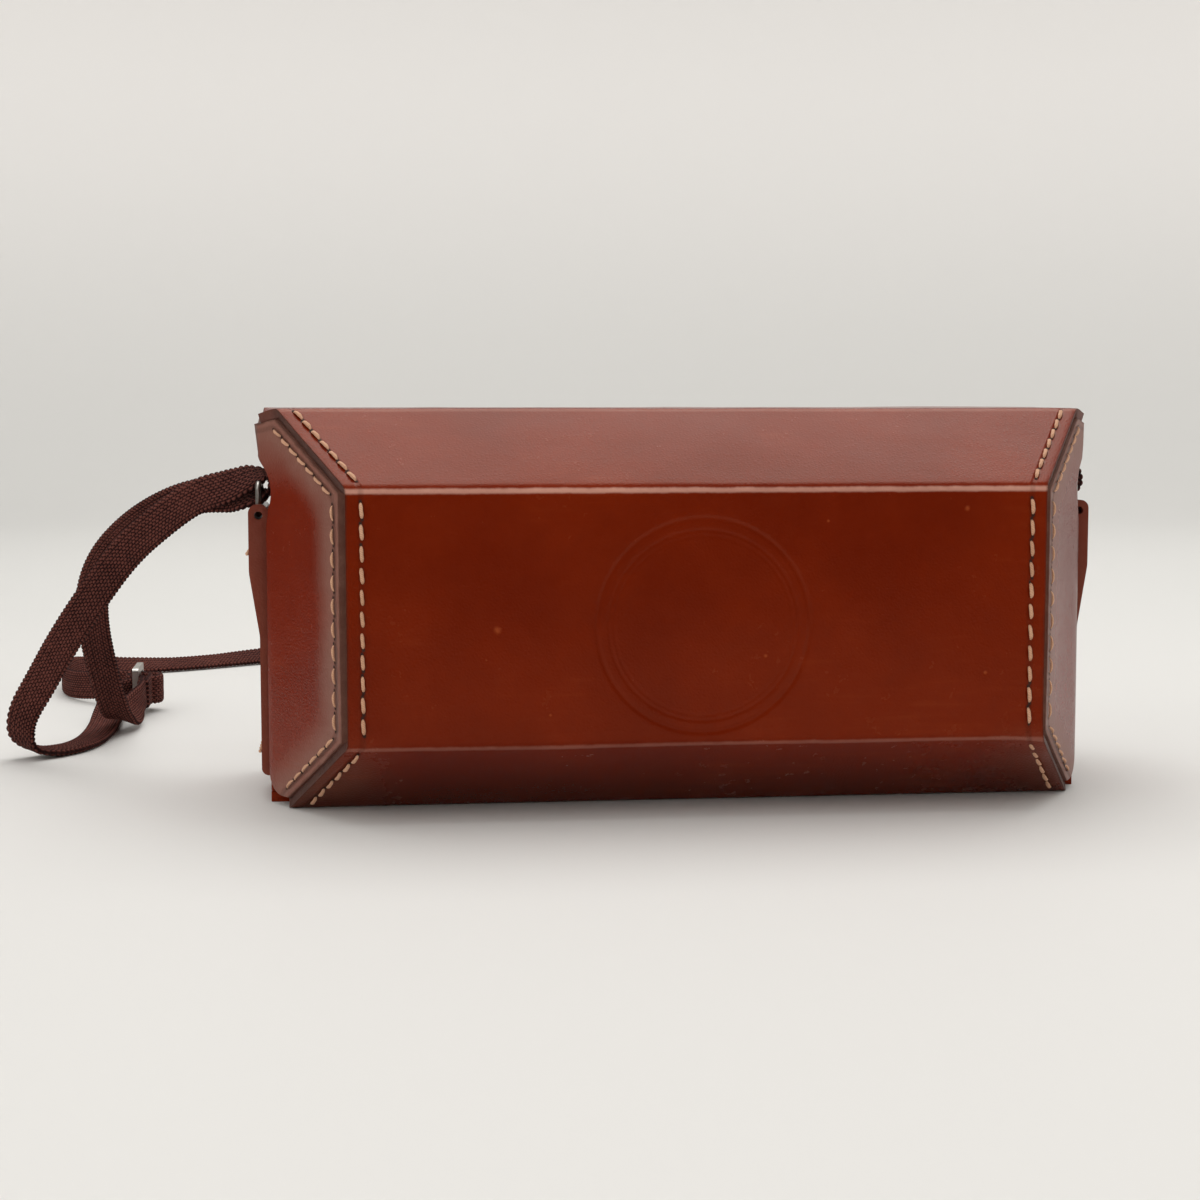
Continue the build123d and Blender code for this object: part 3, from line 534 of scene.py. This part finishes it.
wrap_corners = [(70.2, 86), (24, 86), (0, 70), (0, 16), (21, 0), (28.6, 0)]
wrap_line = fold_line(wrap_corners, fold_radius, 1.5)
runs, folds = {}, [0, 0, 0, 0]
run = 0.0
for number, spot in enumerate(wrap_line):
    run += (spot - wrap_line[max(number - 1, 0)]).length
    runs[round(spot.x, 2), round(spot.y, 2)] = run
    for index, corner in enumerate(wrap_corners[1:5]):
        if (spot - Vector(corner)).length < 0.9:
            folds[index] = run
# Each fold with the strength of its painted highlight and wear.
fold_wear_and_highlight = [(folds[0], 0.15), (folds[1], 0.95), (folds[2], 0.25)]
seamed_leather = hide("burnished_hide_seamed", True, fold_wear_and_highlight, front=True)
panel_leather = hide("burnished_hide_panel", True, dry_and_sheen=1.0)
half = cover_half(*wrap_line[0])
bpy.ops.object.select_all(action="DESELECT")
bpy.ops.mesh.primitive_grid_add(x_subdivisions=wrap_columns, y_subdivisions=1, size=1)
wrap = bpy.context.object
wrap.name = "front_wrap"
bpy.ops.object.mode_set(mode="EDIT")
bpy.ops.mesh.select_mode(type="VERT")
bpy.ops.mesh.select_all(action="DESELECT")
shape = bmesh.from_edit_mesh(wrap.data)
for vertex in shape.verts:
    vertex.select = vertex.co.y > 0
shape.select_flush_mode()
bmesh.update_edit_mesh(wrap.data)
bpy.ops.mesh.delete(type="VERT")
bpy.ops.mesh.select_all(action="SELECT")
first = at(0, *wrap_line[0])
bpy.ops.transform.translate(value=first - Vector((0, -0.5, 0)))
bpy.ops.transform.resize(value=(half / 500, 1, 1), center_override=(0, 0, 0))
for before, after in zip(wrap_line, wrap_line[1:]):
    move = (after - before) / 1000
    bpy.ops.mesh.extrude_region_move(TRANSFORM_OT_translate={"value": (0, move.x, move.y)})
    wider = cover_half(*after) / half
    half *= wider
    if abs(wider - 1) > 1e-6:
        bpy.ops.transform.resize(value=(wider, 1, 1), center_override=(0, 0, 0))
bpy.ops.mesh.select_all(action="SELECT")
bpy.ops.mesh.normals_make_consistent(inside=False)
bpy.ops.object.mode_set(mode="OBJECT")
laid = wrap.data.uv_layers.new(name="lay")
for loop in wrap.data.loops:
    spot = wrap.data.vertices[loop.vertex_index].co
    depth, height = spot.y * 1000 + front_shift, spot.z * 1000
    run = runs.get((round(depth, 2), round(height, 2)), 0)
    laid.data[loop.index].uv = ((cover_half(depth, height) - abs(spot.x) * 1000) / 100, run / 100)
middle_face = min(wrap.data.polygons, key=lambda face: (face.center - at(0, 0, 43)).length)
if middle_face.normal.y > 0:
    wrap.data.flip_normals()

outward = [vertex.normal.copy() for vertex in wrap.data.vertices]
for vertex, normal in zip(wrap.data.vertices, outward):
    spot = vertex.co.copy()
    depth, height = spot.y * 1000 + front_shift, spot.z * 1000
    swell = 0.0
    if depth < 0.5:
        swell = 0.3 * math.cos(math.pi * (height - 43) / 54) * math.cos(spot.x / 0.075 * 1.4)
    elif height > 70 and depth < 60:
        swell = 0.2 * math.sin(math.pi * min(max((height - 70) / 16, 0), 1)) * math.cos(spot.x / 0.075 * 1.4)
    swell += sway(spot, 0.2, 30) + sway(spot, 0.07, 110)
    if height < 1.5 or depth > 66:
        swell = min(swell, 0) * 0.3
    dog_ear = 0.9 * math.exp(-(((spot - at(76, 2.0, 13.0)).length * 1000 / 5.5) ** 2))
    vertex.co = spot + normal * (swell + dog_ear) / 1000
    if height > 80:
        vertex.co.z -= droop(spot.x * 1000, depth) / 1000
wrap.data.materials.append(seamed_leather)
wrap.data.materials.append(cut_edge)
alone(wrap)
wall = wrap.modifiers.new("wall", "SOLIDIFY")
wall.thickness, wall.offset, wall.use_even_offset = hide_thickness / 1000, -1, True
wall.material_offset_rim = 1
rub = wrap.modifiers.new("rub", "BEVEL")
rub.width, rub.segments, rub.limit_method, rub.angle_limit = 0.0005, 3, "ANGLE", math.radians(50)
for modifier in ("wall", "rub"):
    bpy.ops.object.modifier_apply(modifier=modifier)

# Three rings pressed round the middle of the front with a warm tool, plain on this case. The
# hide is cut finer there so that they are true hollows.
ring_centre = (0.3, 40.8)
cut_finer, pressed_within = (16.6, 24.8), (16, 25)
front_skin = -0.0366
rings = ((22.5, 0.45, 0.21), (20.0, 0.34, 0.12), (18.9, 0.3, 0.08))


def out_from_rings(spot):
    """Distance in millimetres from the middle of the pressed rings."""
    return math.hypot(spot.x * 1000 - ring_centre[0], spot.z * 1000 - ring_centre[1])


bpy.ops.object.mode_set(mode="EDIT")
bpy.ops.mesh.select_mode(type="FACE")
bpy.ops.mesh.select_all(action="DESELECT")
shape = bmesh.from_edit_mesh(wrap.data)
for face in shape.faces:
    spot = face.calc_center_median()
    face.select = face.normal.y < -0.8 and spot.y < front_skin and cut_finer[0] < out_from_rings(spot) < cut_finer[1]
bmesh.update_edit_mesh(wrap.data)
bpy.ops.mesh.subdivide(number_cuts=4)
bpy.ops.object.mode_set(mode="OBJECT")
outward = [vertex.normal.copy() for vertex in wrap.data.vertices]
for vertex, normal in zip(wrap.data.vertices, outward):
    out = out_from_rings(vertex.co)
    if normal.y < -0.8 and vertex.co.y < front_skin and pressed_within[0] < out < pressed_within[1]:
        vertex.co.y += sum(deep * math.exp(-((out - radius) / wide) ** 2) for radius, wide, deep in rings) / 1000
bpy.ops.object.shade_smooth_by_angle(angle=math.radians(40))
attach(wrap, "front_cover")
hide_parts("cover_wrap")

# Front cover, ends: two stiff panels behind the wrap's edges, each cut with a heel, a waist
# for the strap and an ear on top that runs back under the wrap.


def edge_gap(depth, height):
    """Distance in side view from the wrap's folded line, less the wrap's own thickness."""
    spot, nearest = Vector((depth, height)), 99.0
    for start, end in zip(wrap_corners, wrap_corners[1:5]):
        start, end = Vector(start), Vector(end)
        part = min(max((spot - start).dot(end - start) / (end - start).length_squared, 0), 1)
        nearest = min(nearest, (spot - start.lerp(end, part)).length)
    return nearest - hide_thickness


def softened(node, name, body, face=None, edge=None, width=0.45, segments=3, slices=3.0,
             shift=None):
    """A CAD node's copy with whole flat faces, rubbed corners and a little unevenness."""
    mesh = frame["nodes"][node].data.copy()
    piece = bpy.data.objects.new(name, mesh)
    bpy.context.scene.collection.objects.link(piece)
    alone(piece)
    bpy.ops.object.mode_set(mode="EDIT")
    bpy.ops.mesh.select_all(action="SELECT")
    bpy.ops.mesh.remove_doubles(threshold=0.00002)
    bpy.ops.mesh.dissolve_limited(angle_limit=math.radians(0.6))
    bpy.ops.object.mode_set(mode="OBJECT")
    mesh.materials.clear()
    mesh.materials.append(face or leather)
    mesh.materials.append(edge or cut_edge)
    shape = bmesh.new()
    shape.from_mesh(mesh)
    for side in shape.faces:
        rim = sum(part.calc_length() for part in side.edges)
        sharp = [part for part in side.edges if len(part.link_faces) == 2 and part.calc_face_angle() > 0.6]
        thin = 2 * side.calc_area() / rim < 0.00128
        side.material_index = 1 if thin and sum(part.calc_length() for part in sharp) > 0.6 * rim else 0
    shape.to_mesh(mesh)
    shape.free()
    rub = piece.modifiers.new("rub", "BEVEL")
    rub.width, rub.segments, rub.limit_method = width / 1000, segments, "ANGLE"
    rub.angle_limit = math.radians(32)
    bpy.ops.object.modifier_apply(modifier="rub")
    low = [min(vertex.co[axis] for vertex in mesh.vertices) for axis in range(3)]
    high = [max(vertex.co[axis] for vertex in mesh.vertices) for axis in range(3)]
    bpy.ops.object.mode_set(mode="EDIT")
    for axis in range(3):
        count = int((high[axis] - low[axis]) * 1000 / slices) if slices and high[axis] - low[axis] > 0.004 else 0
        for number in range(1, count):
            cut = Vector((0, 0, 0))
            cut[axis] = low[axis] + (high[axis] - low[axis]) * number / count
            normal = [float(way == axis) for way in range(3)]
            bpy.ops.mesh.select_all(action="SELECT")
            bpy.ops.mesh.bisect(plane_co=cut, plane_no=normal)
    bpy.ops.object.mode_set(mode="OBJECT")
    laid = mesh.uv_layers.new(name="lay")
    if face is panel_leather:
        gaps = [edge_gap(vertex.co.y * 1000 + front_shift, vertex.co.z * 1000) / 100 for vertex in mesh.vertices]
        for loop in mesh.loops:
            laid.data[loop.index].uv = (gaps[loop.vertex_index], 0)
    for vertex in mesh.vertices:
        if shift:
            vertex.co += shift(vertex.co) / 1000
    bpy.ops.object.shade_smooth_by_angle(angle=math.radians(34))
    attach(piece, body)
    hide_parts(node)
    return piece


for side, way in (("left", -1), ("right", 1)):
    def belly(spot, way=way):
        """The end dips between its stiff edges and its ear leans out a little."""
        depth, height = spot.y * 1000 + front_shift, spot.z * 1000
        hollow = -0.5 * math.sin(math.pi * min(max((depth - 2) / 24, 0), 1))
        hollow *= math.sin(math.pi * min(max(height / 76, 0), 1))
        lean = 1.1 * min(max((height - 70) / 13, 0), 1) ** 1.4 * min(max((depth - 30) / 8, 0), 1)
        uneven = sway(spot, 0.3, 28) if height < 76 else 0
        sunk = droop(spot.x * 1000, depth) * min(max((height - 76) / 8, 0), 1)
        return Vector((way * (hollow + lean + uneven), 0, -sunk))

    softened("cover_end_" + side, "end_panel_" + side, "front_cover", face=panel_leather, shift=belly)

# Rear half: a back and base folded from one hide, and two side walls sewn to it that stand
# outside the front cover's arms. The flap hangs from the cover's top down the back. The bands
# that hold the rings are doubled hide, painted paler: a painted sheen of their glossy faces.
band_leather = hide("burnished_hide_band", paler=0.26)
for side in ("left", "right"):
    softened("rear_side_" + side, "side_wall_" + side, "rear_half", slices=8.0)
    softened("strap_band_" + side, "ring_band_" + side, "rear_half", face=band_leather, width=0.4, slices=4.0)
softened("rear_wrap", "back_and_base", "rear_half", slices=8.0)
softened("closing_flap", "back_flap", "flap", slices=8.0)
softened("hinge_strip_rear", "hinge_piece_rear", "rear_half", width=0.2, slices=0)
softened("hinge_strip_cover", "hinge_piece_cover", "front_cover", width=0.2, slices=0)

# Linings: thin tan suede split, glued flesh side out to every inside face so that the camera
# isn't rubbed. Its nap shows darker and lighter where hands and the camera have brushed it.
suede, sockets, tone = paint("lining_suede", roughness=0.95, sheen_weight=0.35, sheen_roughness=0.4)
sockets["Specular IOR Level"].default_value = 0.1
place = tone.node("TexCoord", out=3)
brushed = tone.node("TexNoise", {}, {"Vector": place, "Scale": 30.0, "Detail": 4.0, "Distortion": 0.4})
nap = tone.node("TexNoise", {}, {"Vector": place, "Scale": 1400.0, "Detail": 3.0, "Roughness": 0.8})
feed((brushed.between(0.3, 0.7) * 0.3 + nap * 0.7).mix((0.150, 0.078, 0.038, 1), (0.33, 0.195, 0.105, 1)),
     sockets["Base Color"])
feed(tone.node("Bump", {}, {"Strength": 0.6, "Distance": 0.0003, "Height": nap}), sockets["Normal"])
for node, body in (
    ("cover_lining_wrap", "front_cover"), ("cover_lining_left", "front_cover"), ("cover_lining_right", "front_cover"),
    ("rear_lining", "rear_half"), ("rear_lining_left", "rear_half"), ("rear_lining_right", "rear_half"),
):
    softened(node, node.replace("lining", "suede"), body, suede, suede, 0.25, 2, 0)

# Stitching: waxed cream linen, two-ply, pulled down into awl holes. One stitch is modelled and
# laid in every place where the CAD rows have theirs.
linen, sockets, tone = paint("linen_thread", roughness=0.62)
laid = tone.node("UVMap", {"uv_map": "ply"})
around = tone.node("SeparateXYZ", {}, {0: laid})
along = tone.node("SeparateXYZ", {}, {0: laid}, out=1)
# Random real soiling along the thread.
grime_and_shade = tone.node("TexNoise", {}, {"Vector": tone.node("TexCoord", out=3), "Scale": 140.0, "Detail": 3.0})
fuzz = tone.node("TexNoise", {}, {"Vector": tone.node("TexCoord", out=3), "Scale": 2600.0, "Detail": 2.0})
# The grooves between the twisted plies are painted darker: painted shade, mixed with real soiling.
twist = tone.sum("ABSOLUTE", tone.sum("SINE", around * math.pi * 2 + along * 9.0))
shade = twist ** 0.5 * 0.65 + fuzz * 0.35 + grime_and_shade * 0.5 - 0.25
thread_soiled_and_shaded, thread_cream = (0.34, 0.125, 0.052, 1), (0.86, 0.50, 0.315, 1)
feed(shade.mix(thread_soiled_and_shaded, thread_cream), sockets["Base Color"])
feed(tone.node("Bump", {}, {"Strength": 0.6, "Distance": 0.0002, "Height": twist + fuzz * 0.4}), sockets["Normal"])
# A flat dark disc at each end of a stitch: painted shade standing in for the dark inside of the awl hole.
awl_hole_shade, sockets, tone = paint("awl_hole_shade", roughness=0.9)
pitted = tone.node("TexNoise", {}, {"Vector": tone.node("TexCoord", out=3), "Scale": 900.0})
feed(pitted.mix((0.016, 0.004, 0.002, 1), (0.050, 0.011, 0.005, 1)), sockets["Base Color"])

stitch_length, thread_width, stitch_slices = 3.3, 0.86, 12
awl_radius, awl_holes_out, awl_holes_down = 0.00036, 0.00182, 0.00032
thread_sunk, thread_raised = 0.00035, 0.00042
bpy.ops.object.select_all(action="DESELECT")
bpy.ops.mesh.primitive_cylinder_add(vertices=12, radius=0.5, depth=1, end_fill_type="TRIFAN")
stitch = bpy.context.object
bpy.ops.object.mode_set(mode="EDIT")
bpy.ops.mesh.select_all(action="SELECT")
for number in range(1, stitch_slices):
    bpy.ops.mesh.select_all(action="SELECT")
    bpy.ops.mesh.bisect(plane_co=(0, 0, number / stitch_slices - 0.5), plane_no=(0, 0, 1))
bpy.ops.object.mode_set(mode="OBJECT")
for vertex in stitch.data.vertices:
    part, turn = vertex.co.z * 2, math.atan2(vertex.co.y, vertex.co.x)
    out = math.hypot(vertex.co.x, vertex.co.y) * 2
    taper = (1 - abs(part) ** 2.2) ** 0.6 * 0.8 + 0.2
    lobes = 1 + 0.1 * math.cos(2 * turn - part * 5.5)
    across = out * taper * lobes * thread_width / 2
    vertex.co = Vector((part * stitch_length * 0.53, math.sin(turn) * across,
                        math.cos(turn) * across * 0.8 + 0.12 - 0.62 * abs(part) ** 3.4)) / 1000
ply = stitch.data.uv_layers.active or stitch.data.uv_layers.new()
ply.name = "ply"
for loop in stitch.data.loops:
    spot = stitch.data.vertices[loop.vertex_index].co * 1000
    ply.data[loop.index].uv = (math.atan2(spot.y, spot.z) / math.tau, spot.x)
alone(stitch)
bpy.ops.object.shade_smooth()
# The two painted-shade discs for the awl holes at the stitch's ends.
for end in (-1, 1):
    bpy.ops.mesh.primitive_circle_add(vertices=10, radius=awl_radius, fill_type="TRIFAN",
                                      location=(end * awl_holes_out, 0, -awl_holes_down))
    hole = bpy.context.object
    for vertex in hole.data.vertices:
        vertex.co.x *= 1.35
    bpy.ops.object.transform_apply(location=True, rotation=False, scale=False)
    hole.data.uv_layers.new(name="ply")
    hole.data.materials.append(linen)
    hole.data.materials.append(awl_hole_shade)
    for side in hole.data.polygons:
        side.material_index = 1
    stitch.select_set(True)
    if end < 0:
        stitch.data.materials.append(linen)
        stitch.data.materials.append(awl_hole_shade)
    bpy.context.view_layer.objects.active = stitch
    bpy.ops.object.join()
one_stitch = stitch.data


def sewn(node, name, body, outward, fat=1.0, shift=None):
    """The modelled stitch laid on each of a CAD row's places, a little crooked like hand work."""
    rows = frame["nodes"][node].data.copy()
    shape = bmesh.new()
    shape.from_mesh(rows)
    bmesh.ops.remove_doubles(shape, verts=shape.verts, dist=0.00001)
    shape.verts.ensure_lookup_table()
    seen, places = set(), []
    for vertex in shape.verts:
        if vertex.index in seen:
            continue
        group, waiting = [], [vertex]
        seen.add(vertex.index)
        while waiting:
            spot = waiting.pop()
            group.append(spot.co.copy())
            for part in spot.link_edges:
                other = part.other_vert(spot)
                if other.index not in seen:
                    seen.add(other.index)
                    waiting.append(other)
        centre = sum(group, Vector()) / len(group)
        pairs = ((first, second) for first in group for second in group)
        ends = max(pairs, key=lambda pair: (pair[0] - pair[1]).length)
        reach = sorted((spot - centre for spot in group), key=lambda way: way.dot(ends[0] - ends[1]))
        along = (sum(reach[len(reach) // 2:], Vector()) - sum(reach[:len(reach) // 2], Vector())).normalized()
        sides = [reach[0] - other for other in reach[1:len(reach) // 2]]
        sides = [way.normalized() for way in sides if way.length < 0.0008]
        normal = max(sides + [-way for way in sides], key=lambda way: way.dot(outward(centre)))
        centre += (shift(centre) / 1000 if shift else Vector()) - normal * thread_sunk
        places.append((centre, along, normal))
    shape.free()
    bpy.data.meshes.remove(rows)
    piece = bpy.data.objects.new(name, bpy.data.meshes.new(name))
    bpy.context.scene.collection.objects.link(piece)
    shape = bmesh.new()
    for number, (centre, along, normal) in enumerate(places):
        mesh = one_stitch.copy()
        across = normal.cross(along)
        slant = 0.09 + 0.05 * noise.noise(centre * 300)
        along = (along + across * slant).normalized()
        across = normal.cross(along)
        plump = fat * (1 + 0.12 * noise.noise(centre * 517))
        long = 1 + 0.07 * noise.noise(centre * 411)
        for vertex in mesh.vertices:
            spot = vertex.co
            moved = centre + along * spot.x * long + across * spot.y * plump
            vertex.co = moved + normal * (spot.z * plump + thread_raised)
        shape.from_mesh(mesh)
        bpy.data.meshes.remove(mesh)
    shape.to_mesh(piece.data)
    shape.free()
    piece.data.materials.append(linen)
    piece.data.materials.append(awl_hole_shade)
    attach(piece, body)
    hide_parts(node)


for side, way in (("left", -1), ("right", 1)):
    def nearer(spot, way=way):
        """1.5 mm towards the panel's edge, where the holes meet those of the wrap."""
        lean = (-0.555, 0.832) if spot.z > 0.068 else (-1, 0) if spot.z > 0.018 else (-0.606, -0.795)
        return Vector((way * flare * lean[0], *lean)) * 1.5

    sewn("wrap_stitches_" + side, "wrap_seam_" + side, "front_cover",
         lambda spot: Vector((0, spot.y - 0.01, spot.z - 0.043)))
    sewn("end_stitches_" + side, "end_seam_" + side, "front_cover",
         lambda spot, way=way: Vector((way, 0, 0)), 0.82, nearer)
    sewn("rear_stitches_" + side, "back_seam_" + side, "rear_half", lambda spot: Vector((0, 1, 0)))
    sewn("band_stitches_" + side, "band_seam_" + side, "rear_half", lambda spot, way=way: Vector((way, 0, 0)), 0.85)
sewn("flap_stitches", "flap_seam", "flap", lambda spot: Vector((0, 1, 0)))
sewn("hinge_stitches_rear", "hinge_seam_rear", "rear_half", lambda spot: Vector((0, 0, 1)), 0.85)
bpy.data.objects.remove(stitch)

# Metal: nickel plate on steel and brass, dulled by handling, with the brass showing warm where
# the plate has rubbed thin.
nickel = (0.64, 0.62, 0.58, 1)


def plated(name, below):
    """Nickel plate, cloudy and finely scratched, over the metal below."""
    made, sockets, tone = paint(name, metallic=1.0)
    place = tone.node("TexCoord", out=3)
    cloud = tone.node("TexNoise", {}, {"Vector": place, "Scale": 160.0, "Detail": 4.0})
    grit = tone.node("TexNoise", {}, {"Vector": place, "Scale": 1500.0, "Detail": 3.0})
    feed((cloud * 0.7 + grit * 0.4).between(0.5, 0.85).mix(nickel, below), sockets["Base Color"])
    feed(0.2 + cloud * 0.18 + grit * 0.12, sockets["Roughness"])
    feed(tone.node("Bump", {}, {"Strength": 0.15, "Distance": 0.0001, "Height": grit}), sockets["Normal"])
    return made


steel = plated("nickel_on_steel", (0.36, 0.33, 0.29, 1))
brass = plated("nickel_on_brass", (0.55, 0.40, 0.20, 1))
board, sockets, tone = paint("pressed_board", roughness=0.85)
place = tone.node("TexCoord", out=3)
pulp = tone.node("TexNoise", {}, {"Vector": place, "Scale": 420.0, "Detail": 5.0, "Roughness": 0.75})
feed(pulp.between(0.35, 0.7).mix((0.18, 0.115, 0.062, 1), (0.36, 0.25, 0.15, 1)), sockets["Base Color"])
feed(tone.node("Bump", {}, {"Strength": 0.4, "Distance": 0.0003, "Height": pulp}), sockets["Normal"])
slots = {"plated_steel": steel, "plated_brass": brass, "thread": linen, "lining_suede": suede, "board": board,
         "leather": leather, "webbing": webbing_cloth, "tape": webbing_cloth}
for row in frame["record"]["subparts"]:
    node = frame["nodes"][row["node"]]
    node.data.materials.clear()
    node.data.materials.append(slots[row["material_slot"]])
